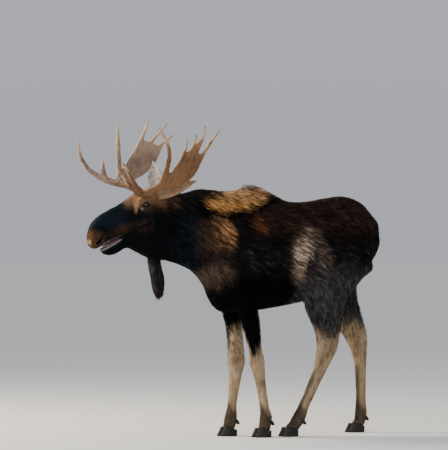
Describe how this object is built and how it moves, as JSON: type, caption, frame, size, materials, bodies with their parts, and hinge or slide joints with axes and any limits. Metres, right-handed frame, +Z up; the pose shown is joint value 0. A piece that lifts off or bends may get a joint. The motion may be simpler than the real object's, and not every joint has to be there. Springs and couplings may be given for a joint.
{
  "type": "moose",
  "caption": "Life-size bull moose, a still museum model walking slowly, head raised, with broad palmed antlers, hump and throat bell.",
  "frame": {"origin": "on the floor, under the middle of the bounding box", "axes": "+X toward the animal's rear, so it faces -X; +Y toward its right side; +Z up"},
  "size_m": [2.4087, 1.1103, 2.3686],
  "materials": {
    "coat_dark": "coarse brown-black hair, lighter and browner over the hump",
    "coat_face": "short brown hair, near black on the bridge of the nose",
    "coat_leg": "short grey-tan hair",
    "antler": "dry bare bone, brown with ivory edges and tips",
    "horn": "near black horn",
    "eye": "dark, wet and glossy",
    "tongue": "moist pink"
  },
  "bodies": {
    "root": {"head": "coat_face", "jaw": "coat_face", "ear_left": "coat_face", "ear_right": "coat_face", "neck": "coat_dark", "trunk": "coat_dark", "tail": "coat_dark", "bell": "coat_dark", "tongue": "tongue", "eye_left": "eye", "eye_right": "eye", "antler_left_beam": "antler", "antler_left_brow": "antler", "antler_left_palm": "antler", "antler_right_beam": "antler", "antler_right_brow": "antler", "antler_right_palm": "antler", "foreleg_left_upper": "coat_dark", "foreleg_left_lower": "coat_leg", "foreleg_left_foot": "coat_leg", "hoof_foreleg_left_left": "horn", "dewclaw_foreleg_left_left": "horn", "hoof_foreleg_left_right": "horn", "dewclaw_foreleg_left_right": "horn", "foreleg_right_upper": "coat_dark", "foreleg_right_lower": "coat_leg", "foreleg_right_foot": "coat_leg", "hoof_foreleg_right_left": "horn", "dewclaw_foreleg_right_left": "horn", "hoof_foreleg_right_right": "horn", "dewclaw_foreleg_right_right": "horn", "hindleg_left_upper": "coat_dark", "hindleg_left_lower": "coat_leg", "hindleg_left_foot": "coat_leg", "hoof_hindleg_left_left": "horn", "dewclaw_hindleg_left_left": "horn", "hoof_hindleg_left_right": "horn", "dewclaw_hindleg_left_right": "horn", "hindleg_right_upper": "coat_dark", "hindleg_right_lower": "coat_leg", "hindleg_right_foot": "coat_leg", "hoof_hindleg_right_left": "horn", "dewclaw_hindleg_right_left": "horn", "hoof_hindleg_right_right": "horn", "dewclaw_hindleg_right_right": "horn"}
  },
  "joints": []
}
